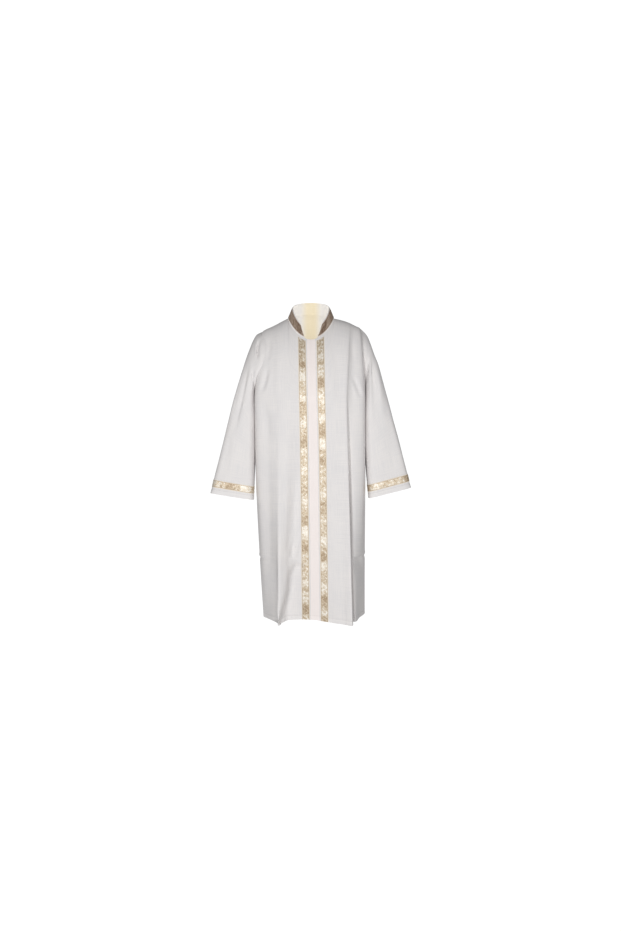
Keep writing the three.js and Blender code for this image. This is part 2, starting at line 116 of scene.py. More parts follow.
# Centripetal cubic through b and c that heeds a and d: Hermite, with the slopes of the three chords.
def curveThrough(a, b, c, d, share):
    chords = (b - a, c - b, d - c)
    before, during, after = (np.sqrt(np.linalg.norm(part, axis=-1, keepdims=True)) for part in chords)
    start = ((b - a) / before - (c - a) / (before + during) + (c - b) / during) * during
    end = ((c - b) / during - (d - b) / (during + after) + (d - c) / after) * during
    t = share[..., None]
    t2, t3 = t * t, t * t * t
    return b * (2 * t3 - 3 * t2 + 1) + start * (t3 - 2 * t2 + t) + c * (3 * t2 - 2 * t3) + end * (t3 - t2)


def stretchAt(arc):  # which two fold lines a place lies between, and how far along
    place = arc % girth
    index = np.clip(np.searchsorted(lineArc, place, side="right") - 1, 0, len(foldLines) - 1)
    return index, (place - lineArc[index]) / (lineArc[index + 1] - lineArc[index])


easing = 0.05  # keeps the start of a fold line gentle


# Below the armpit: each fold line goes from the chest ring to the hem with (1 - height) to its own
# power, eased so that it starts out nearly upright, and the cloth is the curve through four lines.
def skirtPoint(arc, height):
    index, share = stretchAt(arc)
    around = []
    for step in (-1, 0, 1, 2):
        line = (index + step) % len(foldLines)
        power = linePower[line]
        first, last = easing**power, (1 + easing) ** power
        opened = (((1 - height + easing) ** power - first) / (last - first))[..., None]
        level = mix(cloth["armpitZ"], hemXYZ[line, 2], 1 - height)[..., None]
        around.append(np.concatenate([mix(chestXY[line], hemXYZ[line, :2], opened), level], axis=-1))
    return curveThrough(*around, share)


# The neckline at an angle from the centre front: sine across, powers of the cosine forwards and down.
def neckPoint(angle):
    forward = np.cos(angle)
    ahead, behind = np.maximum(forward, 0), np.maximum(-forward, 0)
    y = neck["sideY"] - neck["frontReach"] * ahead ** neck["roundPower"] + neck["backReach"] * behind
    z = neck["backRise"] * behind ** neck["risePower"] - neck["frontDrop"] * ahead ** neck["dropPower"]
    return np.stack([neck["halfWidth"] * np.sin(angle), y, z], axis=-1)


def topOf(arc):  # where a place ends above, its side, whether it is in the back, and its neck angle
    place = arc % girth
    index, share = stretchAt(place)
    nextLine = (index + 1) % len(foldLines)
    fromCentre = np.minimum(place, girth - place)
    nearTop = np.arcsin(np.clip(fromCentre / neck["halfWidth"], 0, 1)) / (math.pi / 2)
    top = np.where(fromCentre < edges["trimOuter"], nearTop, mix(lineTop[index], lineTop[nextLine], share))
    side = np.where(place < centreBack, 1.0, -1.0)
    back = (place > leftSeam) & (place < rightSeam)
    turn = np.minimum(top, 1) * math.pi / 2
    return top, side, back, side * np.where(back, math.pi - turn, turn)


def topPoint(arc):
    top, side, back, angle = topOf(arc)
    share = np.maximum(top - 1, 0)
    z = np.where(side > 0, shoulder["leftZ"], shoulder["rightZ"])
    arch = np.where(side > 0, shoulder["leftArch"], shoulder["rightArch"])
    onShoulder = np.stack([
        side * mix(neck["halfWidth"], shoulder["x"], share),
        mix(neck["sideY"], shoulder["y"], share),
        z * share + arch * np.sin(math.pi * share),
    ], axis=-1)
    return np.where((top <= 1)[..., None], neckPoint(angle), onShoulder)


# Above the armpit: each line bends over like part of a rounded square, a full quarter turn at the
# shoulder and less at the middle of the neckline.
def yokePoint(arc, rise):
    chest, end = skirtPoint(arc, np.ones_like(rise)), topPoint(arc)
    top, side, back, angle = topOf(arc)
    middleTurn = np.where(back, yoke["backTurn"], yoke["frontTurn"])
    turn = np.radians(mix(middleTurn, yoke["shoulderTurn"], np.minimum(top, 1) ** yoke["turnPower"]))
    power = 2 / mix(yoke["neckSquare"], yoke["shoulderSquare"], np.maximum(top - 1, 0))
    unturned = np.maximum(np.cos(turn), 0) ** power
    over = (np.maximum(np.cos(rise * turn), 0) ** power - unturned) / (1 - unturned)
    up = (np.sin(rise * turn) / np.sin(turn)) ** power
    return np.stack([
        mix(chest[..., 0], end[..., 0], rise),
        mix(end[..., 1], chest[..., 1], over),
        mix(chest[..., 2], end[..., 2], up),
    ], axis=-1)


def bodyPoint(arc, height):  # height 0 is the hem, 1 the armpit and 2 the neck and shoulder line
    arc, height = np.broadcast_arrays(np.asarray(arc, float), np.asarray(height, float))
    low = skirtPoint(arc, np.clip(height, 0, 1))
    high = yokePoint(arc, np.clip(height - 1, 0, 1))
    return np.where((height <= 1)[..., None], low, high)


# The normal is the cross product of the steps along and up the surface.
def normalOf(pointAt, arc, height, stepArc=2.0, stepHeight=0.012):
    along = pointAt(arc + stepArc, height) - pointAt(arc - stepArc, height)
    above, below = np.minimum(height + stepHeight, 2), np.maximum(height - stepHeight, 0)
    return unit(np.cross(along, pointAt(arc, above) - pointAt(arc, below)))


armhole = dict(
    frontLeft=0.36, frontRight=0.7, back=0.42, frontKeep=150.0, backReach=150.0, bow=0.8, lap=0.8,
)


# The armholes bite in: the stretch beside a side seam closes up by a share that bows with the rise.
def besideArmhole(arc, height):
    bow = np.sin(math.pi * np.clip(height - 1, 0, 1) ** armhole["bow"])
    byLeft = arc <= centreBack
    seam = np.where(byLeft, leftSeam, rightSeam)
    inFront = (arc <= leftSeam) | (arc >= rightSeam)
    frontShare = np.where(byLeft, armhole["frontLeft"], armhole["frontRight"])
    frontReach = np.minimum(seam, girth - seam) - armhole["frontKeep"]
    reach = np.where(inFront, frontReach, armhole["backReach"])
    share = np.where(inFront, frontShare, armhole["back"])
    inwards = np.where(byLeft == inFront, -1.0, 1.0)
    return arc + inwards * np.maximum(reach - np.abs(arc - seam), 0) * share * bow


# A crease is a trough or ridge along a line of (x, z) points: a bell across it with its own width on
# each side, raised by a soft lip outside, and faded in and out over its length.
def creaseField(x, z, crease):
    line = np.array(crease["line"], float)
    lengths, starts = runOf(line)
    best = np.full(x.shape, 1e9)
    place, aside = np.zeros(x.shape), np.zeros(x.shape)
    for (ax, az), (bx, bz), length, start in zip(line[:-1], line[1:], lengths, starts):
        share = np.clip(((x - ax) * (bx - ax) + (z - az) * (bz - az)) / length**2, 0, 1)
        away = np.hypot(x - mix(ax, bx, share), z - mix(az, bz, share))
        side = (x - ax) * (bz - az) - (z - az) * (bx - ax)
        closer = away < best
        best = np.where(closer, away, best)
        aside = np.where(closer, side, aside)
        place = np.where(closer, (start + share * length) / starts[-1], place)
    fade = smooth(place, 0, crease.get("fadeIn", 0.35)) * smooth(1 - place, 0, crease.get("fadeOut", 0.35))
    east, west = crease["width"] if isinstance(crease["width"], tuple) else (crease["width"],) * 2
    across = best / np.where(aside < 0, east, west)  # a line that runs downwards has its east on that side
    bell = np.exp(-across**2) - crease.get("lip", 0.35) * np.exp(-((across - 1.9) / 0.9) ** 2)
    return crease["depth"] * bell * fade


def creasesAt(x, z, creases):
    return sum(creaseField(x, z, crease) for crease in creases)


# Creases of the body. Depth is in mm, out of the cloth where positive; width is the
# reach to either side of the line, or towards +X and towards -X.
frontCreases = [
    dict(
        line=[(-58, -620), (-62, -740), (-66, -860), (-80, -985)], width=(9, 20), depth=-6,
        fadeIn=0.5, fadeOut=0.12,
    ),
    dict(
        line=[(-50, -850), (-56, -907), (-64, -936), (-74, -968), (-80, -992)], width=(7, 9), depth=-5,
        fadeIn=0.4, fadeOut=0.1,
    ),
    dict(
        line=[
            (-46, -1003), (-61, -1036), (-70, -1062), (-77, -1123), (-87, -1161), (-104, -1222),
            (-118, -1257),
        ],
        width=(24, 17), depth=-13, fadeIn=0.12, fadeOut=0.03, lip=0.25,
    ),
    dict(
        line=[(-139, -960), (-141, -1060), (-141, -1256)], width=(5, 12), depth=-11,
        fadeIn=0.7, fadeOut=0.02, lip=0,
    ),
    dict(line=[(-176, -215), (-183, -262), (-200, -330)], width=9, depth=-4),
    dict(line=[(-205, -345), (-180, -420), (-168, -540)], width=16, depth=-3),
    dict(line=[(164, -1001), (222, -996)], width=(7, 50), depth=-11, fadeIn=0.2, fadeOut=0.3, lip=0),
    dict(line=[(168, -250), (188, -300), (207, -352)], width=8, depth=-3),
    dict(line=[(-98, -120), (-108, -230), (-112, -420)], width=18, depth=-2.5),
    dict(line=[(104, -120), (112, -240), (114, -420)], width=18, depth=-2.5),
    dict(line=[(-176, -90), (-168, -130), (-172, -200)], width=9, depth=-2.5),
    dict(line=[(172, -90), (166, -130), (172, -210)], width=9, depth=-1.2),
    dict(line=[(92, -560), (86, -800), (92, -1000)], width=22, depth=2.0, lip=0),
    dict(line=[(-96, -480), (-100, -700), (-108, -1200)], width=16, depth=3.0, lip=0, fadeOut=0.1),
]
backCreases = [
    dict(line=[(-30, -70), (-34, -260), (-26, -520)], width=20, depth=-4),
    dict(line=[(38, -80), (44, -300), (36, -600)], width=22, depth=-4),
    dict(line=[(120, -120), (128, -300), (118, -560)], width=18, depth=-5),
    dict(line=[(-126, -130), (-132, -330), (-124, -600)], width=18, depth=-5),
    dict(line=[(-182, -330), (-150, -400), (-120, -520)], width=13, depth=-4),
    dict(line=[(182, -330), (156, -410), (132, -500)], width=13, depth=-4),
    dict(line=[(0, -620), (6, -850), (0, -1180)], width=24, depth=4, lip=0),
    dict(line=[(-70, -940), (-88, -1080), (-96, -1250)], width=(10, 20), depth=-7, fadeOut=0.05),
    dict(line=[(84, -960), (100, -1090), (104, -1250)], width=(20, 10), depth=-7, fadeOut=0.05),
]
packing = dict(level=-997.0, width=6.0, depth=-4.0, bow=6.0)  # the line where the robe was folded up


def bodyRelief(point, arc):
    x, z = point[..., 0], point[..., 2]
    place = arc % girth
    back = smooth(place, leftSeam - 40, leftSeam + 40) * (1 - smooth(place, rightSeam - 40, rightSeam + 40))
    relief = creasesAt(x, z, frontCreases) * (1 - back) + creasesAt(x, z, backCreases) * back
    wander = packing["bow"] * np.sin(place / 93 + 0.6) + 3 * np.sin(place / 31)
    across = (z - packing["level"] - wander) / packing["width"]
    middle = np.minimum(place, girth - place)
    uneven = (0.62 + 0.38 * np.sin(place / 47 + 1.1)) * smooth(middle, 140, 215) * (1 - 0.6 * back)
    relief = relief + packing["depth"] * uneven * (np.exp(-across**2) - 0.5 * np.exp(-((across - 2.2) ** 2)))
    ripples = np.sin(place / 23 + z / 210) * np.sin(place / 61 - z / 330 + 0.8)
    return relief + 0.7 * ripples


def clothPoint(arc, height):
    base = bodyPoint(arc, height)
    return base + normalOf(bodyPoint, arc, height) * bodyRelief(base, arc)[..., None]


# Rows and columns of a panel, about one every step, and closer by the hem, seams and free edges.
seamColumns = np.array([0.15, 0.7, 1.6, 3.2])
edgeColumns = np.array([0.0, 0.6, 1.4, 3.0])
hem = dict(turn=20.0, stitch=18.0)
skirtLength, yokeLength = 916.0, 360.0


def panelHeights(step=4.0, top=2.0):
    nearHem = np.array([0, 0.7, 1.8, 8, hem["stitch"] - 1, hem["stitch"], hem["stitch"] + 1, hem["turn"] + 2])
    lower = np.linspace((hem["turn"] + 6) / skirtLength, 1, int(skirtLength / step))
    upper = np.linspace(1, top, int(yokeLength / step))[1:]
    return np.concatenate([nearHem / skirtLength, lower, upper])


def panelColumns(start, end, step, seams):
    first = start + (seamColumns if seams[0] else edgeColumns)
    last = end - (seamColumns if seams[1] else edgeColumns)[::-1]
    middle = np.linspace(first[-1], last[0], int((last[0] - first[-1]) / step) + 1)[1:-1]
    return np.concatenate([first, middle, last])


# A closed shell over a grid: the grid moved along its normals to low and to high, joined by a rim.
# Both offsets may differ from vertex to vertex. uv is in millimetres of the flat cut.
def shell(name, points, normals, low, high, uv, joined=False):
    rows, columns = points.shape[:2]
    span = columns if joined else columns - 1
    low, high = (np.broadcast_to(np.asarray(offset, float), (rows, columns)) for offset in (low, high))
    sheets = np.stack([points + normals * low[..., None], points + normals * high[..., None]])
    row, column = cells(rows - 1, span)
    outer = [(1, row, column), (1, row, column + 1), (1, row + 1, column + 1), (1, row + 1, column)]
    inner = [(0, row, column), (0, row + 1, column), (0, row + 1, column + 1), (0, row, column + 1)]
    around, first, last = np.arange(span), np.zeros(span, int), np.full(span, rows - 1)
    foot = [(0, first, around), (0, first, around + 1), (1, first, around + 1), (1, first, around)]
    head = [(0, last, around), (1, last, around), (1, last, around + 1), (0, last, around + 1)]
    bands = [outer, inner, foot, head]
    if not joined:
        up, end = np.arange(rows - 1), np.full(rows - 1, columns - 1)
        bands.append([(0, up, 0 * up), (1, up, 0 * up), (1, up + 1, 0 * up), (0, up + 1, 0 * up)])
        bands.append([(0, up, end), (0, up + 1, end), (1, up + 1, end), (1, up, end)])
    vertex = lambda side, r, c: (side * rows + r) * columns + c % columns
    faces = np.concatenate([np.stack([vertex(*corner) for corner in band], axis=1) for band in bands])
    corners = np.concatenate([np.stack([uv[r, c] for side, r, c in band], axis=1) for band in bands])
    return makeMesh(name, sheets.reshape(-1, 3), faces, corners)


# Puts vertices (mm), four-cornered faces and their uv corners into a mesh whose faces point outwards.
def makeMesh(name, vertices, faces, corners=None):
    a, b, c, d = (vertices[faces[:, k]] for k in range(4))
    volume = np.einsum("ij,ij->", a, np.cross(b, c)) + np.einsum("ij,ij->", a, np.cross(c, d))
    if volume < 0:
        faces = faces[:, ::-1]
        corners = None if corners is None else corners[:, ::-1]
    mesh = bpy.data.meshes.new(name)
    mesh.vertices.add(len(vertices))
    mesh.vertices.foreach_set("co", (vertices / 1000).astype(np.float32).ravel())
    mesh.loops.add(faces.size)
    mesh.loops.foreach_set("vertex_index", faces.astype(np.int32).ravel())
    mesh.polygons.add(len(faces))
    mesh.polygons.foreach_set("loop_start", np.arange(0, faces.size, 4, dtype=np.int32))
    mesh.update(calc_edges=True)
    if corners is not None:
        layer = mesh.uv_layers.new(name="cut")
        layer.data.foreach_set("uv", np.ascontiguousarray(corners, dtype=np.float32).ravel())
    mesh.shade_smooth()
    mesh.set_sharp_from_angle(angle=math.radians(55))
    piece = bpy.data.objects.new(name + "_cloth", mesh)
    bpy.context.collection.objects.link(piece)
    return piece


def areaOf(points):  # square metres of a grid of millimetre points
    a, b, c, d = points[:-1, :-1], points[:-1, 1:], points[1:, 1:], points[1:, :-1]
    crosses = np.linalg.norm(np.cross(c - a, d - b), axis=-1) / 2
    return float(crosses.sum()) / 1e6


def finishPiece(piece, material, slot, *nodes):
    piece.data.materials.append(material)
    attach(piece, "root")
    if nodes:
        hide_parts(*nodes)


def gridUv(across, up):  # a place on the cut for each column's across and each row's up
    return np.stack(np.broadcast_arrays(across[None, :], up[:, None]), axis=-1)


def flatUv(arc, points):  # across in mm of arc, up in mm of cloth
    rise = np.linalg.norm(np.diff(points, axis=0), axis=-1).mean(axis=1)
    return gridUv(arc, np.concatenate([[0], np.cumsum(rise)]))


class Shade:  # a material's node tree, with sums written as plain calls
    def __init__(self, name, **values):
        self.material = bpy.data.materials.new(name)
        self.material.use_nodes = True
        self.tree = self.material.node_tree
        self.surface = self.tree.nodes["Principled BSDF"]
        for socket, value in values.items():
            self.surface.inputs[socket.replace("_", " ")].default_value = value

    def node(self, kind, inputs=None, **settings):
        made = self.tree.nodes.new(kind)
        for setting, value in settings.items():
            setattr(made, setting, value)
        for socket, value in (inputs or {}).items():
            self.feed(made.inputs[socket], value)
        return made

    def feed(self, socket, value):
        if isinstance(value, bpy.types.NodeSocket):
            self.tree.links.new(value, socket)
        else:
            socket.default_value = value

    def sum(self, operation, first, second=0.0, third=0.0):
        return self.node("ShaderNodeMath", {0: first, 1: second, 2: third}, operation=operation).outputs[0]

    def wave(self, value, period):
        return self.sum("SINE", self.sum("MULTIPLY", value, 2 * math.pi / period))

    def step(self, value, low, high):  # soft step from 0 at low to 1 at high
        made = self.node("ShaderNodeMapRange", {0: value, 1: low, 2: high}, interpolation_type="SMOOTHSTEP")
        return made.outputs[0]

    def blend(self, share, first, second):
        return self.node("ShaderNodeMix", {0: share, 6: first, 7: second}, data_type="RGBA").outputs[2]

    def noise(self, across, up, scale, detail=3.0):
        place = self.node("ShaderNodeCombineXYZ", {0: across, 1: up}).outputs[0]
        return self.node("ShaderNodeTexNoise", {"Vector": place, "Scale": scale, "Detail": detail}).outputs[0]

    def bump(self, height, distance, strength):
        made = self.node("ShaderNodeBump", {"Height": height, "Distance": distance, "Strength": strength})
        self.tree.links.new(made.outputs[0], self.surface.inputs["Normal"])

    def cutPlace(self):  # millimetres across and along the flat cut
        uv = self.node("ShaderNodeUVMap", uv_map="cut").outputs[0]
        split = self.node("ShaderNodeSeparateXYZ", {0: uv})
        return split.outputs[0], split.outputs[1]


def colour(red, green, blue):
    return (red, green, blue, 1.0)


robeLook = dict(
    light=colour(0.83, 0.80, 0.785), shade=colour(0.765, 0.745, 0.745), pitch=0.62, roughness=0.8, sheen=0.06,
)
plainLook = dict(
    light=colour(0.93, 0.86, 0.835), shade=colour(0.90, 0.825, 0.80), pitch=0.5, roughness=0.7, sheen=0.1,
)
creamLook = dict(  # paler at the sides of the neck, from sideFrom to sideTo metres off the middle
    light=colour(0.93, 0.82, 0.60), shade=colour(0.90, 0.79, 0.56), side=colour(0.94, 0.91, 0.87),
    sideFrom=0.012, sideTo=0.05, pitch=0.5, roughness=0.85, sheen=0.05,
)
threadLook = dict(light=colour(0.76, 0.73, 0.72), shade=colour(0.68, 0.65, 0.64), roughness=0.6)
# layers is the paler turned hem; ditch darkens the cloth along the hem's sewing, which is painted shade
hemToneAndShade = dict(layers=1.035, ditch=0.86, paintedShadeWide=0.9)


# Plain weave. Warp and weft threads of uneven thickness, slow clouds of tone, and a bump that crosses
# two sines a thread apart. Lining pales by its distance from the middle. Other cloth is a little paler
# on its turned hem, with a thin line of painted shade along the sewing, where the seam sinks in.
def wovenCloth(name, look):
    made = Shade(name, Roughness=look["roughness"], Sheen_Weight=look["sheen"], Sheen_Roughness=0.45)
    across, up = made.cutPlace()
    warp = made.noise(made.sum("MULTIPLY", across, 0.5), made.sum("MULTIPLY", up, 0.012), 1.0)
    weft = made.noise(made.sum("MULTIPLY", across, 0.012), made.sum("MULTIPLY", up, 0.5), 1.0)
    slubs = made.sum("ADD", warp, weft)
    clouds = made.noise(across, up, 0.009, 2.0)
    share = made.sum("ADD", made.sum("MULTIPLY_ADD", slubs, 1.6, -1.6), clouds)
    shown = made.blend(made.step(share, 0.1, 0.9), look["light"], look["shade"])
    if "side" in look:
        place = made.node("ShaderNodeTexCoord").outputs["Object"]
        x = made.sum("ABSOLUTE", made.node("ShaderNodeSeparateXYZ", {0: place}).outputs[0])
        shown = made.blend(made.step(x, look["sideFrom"], look["sideTo"]), shown, look["side"])
    else:
        turned = made.sum("SUBTRACT", 1.0, made.step(up, hem["stitch"], hem["turn"]))
        apart = made.sum("ABSOLUTE", made.sum("SUBTRACT", up, hem["stitch"]))
        # painted shade: the cloth darkens along the line of sewing
        paintedDitchShade = made.sum("SUBTRACT", 1.0, made.step(apart, 0.3, hemToneAndShade["paintedShadeWide"]))
        tone = made.sum("MULTIPLY_ADD", turned, hemToneAndShade["layers"] - 1, 1.0)
        tone = made.sum("MULTIPLY_ADD", paintedDitchShade, hemToneAndShade["ditch"] - hemToneAndShade["layers"], tone)
        shown = made.node("ShaderNodeVectorMath", {0: shown, "Scale": tone}, operation="SCALE").outputs[0]
    made.feed(made.surface.inputs["Base Color"], shown)
    period = 2 * look["pitch"]
    weave = made.sum("MULTIPLY", made.wave(across, period), made.wave(up, period))
    made.bump(made.sum("MULTIPLY_ADD", weave, 0.35, slubs), 0.00015, 0.7)
    return made.material


# pale and white are the colours where the painted glint is brightest; pale is also the border's cord
brocadeLook = dict(
    repeat=34.0, sway=4.2, stem=0.8, leafFar=5.2, leafLong=4.8, leafWide=2.1, budFar=9.6,
    budLean=0.6, budLong=4.2, budWide=1.7, edgeAt=13.5, roughness=0.5, metallic=0.36,
    bronze=colour(0.42, 0.31, 0.205), gold=colour(0.64, 0.525, 0.375), pale=colour(0.91, 0.85, 0.75),
    white=colour(0.96, 0.92, 0.85), border=colour(0.89, 0.77, 0.60),
)


# Brocade ribbon: a vine that sways from side to side once a repeat, slanting leaves in each bay on
# either side of it, small buds between, and a corded border. Noise in the colour, from bronze through
# gold to pale, is painted glint: the metal thread catching the light in patches and sparks. In the
# cut's own place, across runs from -16 to 16 mm and along is millimetres down the ribbon.
def brocade(name, look):
    made = Shade(name, Roughness=look["roughness"], Metallic=look["metallic"])
    across, along = made.cutPlace()
    repeat = look["repeat"]
    line = lambda first, scale, second: made.sum("MULTIPLY_ADD", first, scale, second)
    within = lambda value, edge: made.sum("SUBTRACT", 1.0, made.step(value, edge - 0.35, edge + 0.35))

    def oval(middleAcross, middleAlong, slant, wide, long):  # 1 within an oval that leans by slant
        shifted = made.sum("ADD", along, repeat / 2 - middleAlong)
        turned = made.sum("SUBTRACT", made.sum("FLOORED_MODULO", shifted, repeat), repeat / 2)
        aside = made.sum("SUBTRACT", across, middleAcross)
        u = line(turned, -math.sin(slant) / wide, made.sum("MULTIPLY", aside, math.cos(slant) / wide))
        v = line(turned, math.cos(slant) / long, made.sum("MULTIPLY", aside, math.sin(slant) / long))
        reach = made.sum("ADD", made.sum("MULTIPLY", u, u), made.sum("MULTIPLY", v, v))
        return within(reach, 1.0)

    vine = made.sum("MULTIPLY", made.wave(along, repeat), look["sway"])
    motif = within(made.sum("ABSOLUTE", made.sum("SUBTRACT", across, vine)), look["stem"])
    motif = made.sum("MULTIPLY", motif, 0.45)
    far, wide, long = look["leafFar"], look["leafWide"], look["leafLong"]
    for side, middle in ((1, 0.75), (-1, 0.25)):
        for lean, step, out in ((0.8, -0.15, 0.0), (-0.8, 0.15, 0.0), (0.0, 0.0, 3.4)):
            leaf = oval(side * (far + out), (middle + step) * repeat, side * lean, wide, long)
            motif = made.sum("MAXIMUM", motif, leaf)
        budPlace = -side * look["budFar"], middle * repeat, -side * look["budLean"]
        bud = oval(*budPlace, look["budWide"], look["budLong"])
        motif = made.sum("MAXIMUM", motif, bud)
    distance = made.sum("ABSOLUTE", across)
    edge = made.step(distance, look["edgeAt"] - 0.3, look["edgeAt"] + 0.3)
    gutter = within(made.sum("ABSOLUTE", made.sum("SUBTRACT", distance, look["edgeAt"] - 0.8)), 0.7)
    cord = line(made.wave(made.sum("ADD", along, distance), 2.4), 0.5, 0.5)
    # painted glint: broad patches, sparks and lamé streaks of noise that brighten or darken the gold
    glintPatches = made.noise(made.sum("MULTIPLY", across, 0.02), along, 0.016, 3.0)
    grains = made.noise(across, along, 0.26, 2.0)
    blobs = made.noise(across, along, 0.085, 1.0)
    lame = made.noise(made.sum("MULTIPLY", across, 0.1), made.sum("MULTIPLY", along, 1.3), 1.0, 2.0)
    paintedGlint = line(grains, 0.7, line(blobs, 0.9, line(lame, 0.4, line(glintPatches, 2.0, -1.5))))
    ground = made.blend(made.step(paintedGlint, 0.2, 0.5), look["bronze"], look["gold"])
    ground = made.blend(made.step(paintedGlint, 0.45, 0.85), ground, look["pale"])
    figure = made.blend(made.step(paintedGlint, 0.25, 0.7), look["gold"], look["white"])
    shown = made.blend(made.sum("MULTIPLY", motif, 0.85), ground, figure)
    shown = made.blend(gutter, shown, look["bronze"])
    shown = made.blend(edge, shown, made.blend(cord, look["border"], look["pale"]))
    made.feed(made.surface.inputs["Base Color"], shown)
    silky = made.sum("MAXIMUM", made.sum("MULTIPLY", motif, 0.4), edge)
    made.feed(made.surface.inputs["Metallic"], line(silky, -0.9 * look["metallic"], look["metallic"]))
    relief = line(motif, 0.8, line(grains, 0.6, made.sum("MULTIPLY", edge, cord)))
    made.bump(line(made.wave(along, 0.8), 0.12, relief), 0.0004, 0.8)
    return made.material


robe = wovenCloth("robeCloth", robeLook)
plain = wovenCloth("plainStripCloth", plainLook)
cream = wovenCloth("creamCloth", creamLook)
gold = brocade("goldBrocade", brocadeLook)
# The collar's ribbon is the same brocade in darker colours: painted shade for the collar at the top of the
# robe.
collarShadedGold = brocade("collarBrocadeShaded", dict(
    brocadeLook, bronze=colour(0.235, 0.155, 0.108), gold=colour(0.385, 0.278, 0.205),
    pale=colour(0.55, 0.435, 0.34), white=colour(0.59, 0.475, 0.38), border=colour(0.64, 0.52, 0.435),
))


def threadMaterial(look):
    made = Shade("sewingThread", Roughness=look["roughness"])
    place = made.node("ShaderNodeTexCoord").outputs["Object"]
    twist = made.node("ShaderNodeTexNoise", {"Vector": place, "Scale": 900.0, "Detail": 2.0}).outputs[0]
    made.feed(made.surface.inputs["Base Color"], made.blend(twist, look["light"], look["shade"]))
    return made.material


thread = threadMaterial(threadLook)
half = cloth["thick"] / 2
trimLow = half + cloth["seamGap"]
trimHigh = trimLow + cloth["trim"]
ribbonHalf = 16.0
patternStart = dict(front={1: 260.0, -1: 1180.0}, cuff={1: 700.0, -1: 2330.0})  # mm down the pattern


def rollIn(distance, depth=0.5, width=1.5):  # how far a face rolls in beside a seam or an edge
    return -depth * np.exp(-((distance / width) ** 2))


def ribbonTop(across):  # the ribbon's outer face, rounded off at its edges
    return trimHigh + rollIn(ribbonHalf - np.abs(across), 0.5, 0.7)


def hemLayers(height):  # the cloth's inner and outer face, further apart where the hem is turned
    up = height * skirtLength
    turned = 1 - smooth(up, hem["turn"] - 1.5, hem["turn"] + 1.5)
    ditch = np.exp(-(((up - hem["stitch"]) / 1.8) ** 2))
    edgeRound = np.exp(-((up / 0.7) ** 2))
    high = half + 0.35 * turned - 0.8 * ditch * turned - 0.5 * edgeRound
    low = -half - 1.1 * turned + 0.3 * ditch + 0.5 * edgeRound
    return low, high


# Each panel: where it starts and ends round the body, which of those edges is a seam, -1 in front or 1
# behind the shoulder seam, the column step in mm, and the flat size and area of its cut in metres.
panelCuts = dict(
    front_left=(edges["front"], leftSeam, (False, True), -1, 3.5, (0.44, 1.30), 0.40),
    front_right=(rightSeam, girth - edges["front"], (True, False), -1, 3.5, (0.44, 1.30), 0.40),
    back=(leftSeam, rightSeam, (True, True), 1, 4.0, (0.64, 1.34), 0.73),
)
frontFacing = dict(thick=0.9, wide=30.0, end=34.0)
shoulderRun = 190.0  # mm of cloth to one unit of height, close below the shoulder seam


# A panel: the cloth's surface, closed up beside the armholes, rolled in at its seams and faced inside
# along a free front edge.
def makePanel(name, start, end, seams, behind, step, sheetSize, sheetArea):
    heights, columns = panelHeights(), panelColumns(start, end, step, seams)
    arc, height = np.meshgrid(columns, heights)
    place = besideArmhole(arc, height)
    points, normals = clothPoint(place, height), normalOf(clothPoint, place, height)
    points[-1, :, 1] += behind * cloth["seamGap"] / 2
    onShoulder = topOf(columns)[0] > 1
    normals[-1, onShoulder] = unit(normals[-1, onShoulder] * (1, 0, 1))
    low, high = hemLayers(height)
    for edge, isSeam in ((start, seams[0]), (end, seams[1])):
        fromEdge = np.abs(arc - edge)
        high = high + (rollIn(fromEdge) if isSeam else rollIn(fromEdge, 0.4, 0.8))
        if not isSeam:
            faced = 1 - smooth(fromEdge, frontFacing["wide"], frontFacing["end"])
            low = low - frontFacing["thick"] * faced * smooth(2 - height, 0, 0.05)
    high = high + rollIn((2 - height) * shoulderRun)
    piece = shell(name, points, normals, low, high, flatUv(columns, points))
    finishPiece(piece, robe, "robe_cloth", name)


for panel, panelCut in panelCuts.items():
    makePanel(panel, *panelCut)
print("stage: panels")


def stripGrid(columns, heights):
    arc, height = np.meshgrid(columns, heights)
    return clothPoint(arc, height), normalOf(clothPoint, arc, height)


def makeUnderlap():
    columns = np.linspace(-edges["underlapHalf"], edges["underlapHalf"], 23)
    heights = panelHeights()
    points, normals = stripGrid(columns, heights)
    low = hemLayers(heights[:, None])[0] - cloth["thick"] - cloth["seamGap"]
    piece = shell("underlap", points, normals, low, -trimLow, flatUv(columns, points))
    finishPiece(piece, plain, "robe_cloth", "underlap")


makeUnderlap()


def makeFrontTrim(label, side):
    columns = np.sort(side * np.linspace(edges["trimInner"], edges["trimOuter"], 27))
    across = columns - side * (edges["trimInner"] + edges["trimOuter"]) / 2
    points, normals = stripGrid(columns, panelHeights(3.0, 1.94))
    uv = flatUv(across, points) + np.array([0.0, patternStart["front"][side]])
    piece = shell("trim_front_" + label, points, normals, trimLow, ribbonTop(across)[None, :], uv)
    finishPiece(piece, gold, "gold_brocade", "trim_front_" + label)


makeFrontTrim("left", 1)
makeFrontTrim("right", -1)

collarCut = dict(
    height=48.0, frontLean=20.0, sideLean=25.0, backLean=12.0, clear=0.75, slantLeft=31.0,
    slantRight=27.0, slantReach=70.0, trimMargin=4.0,
)


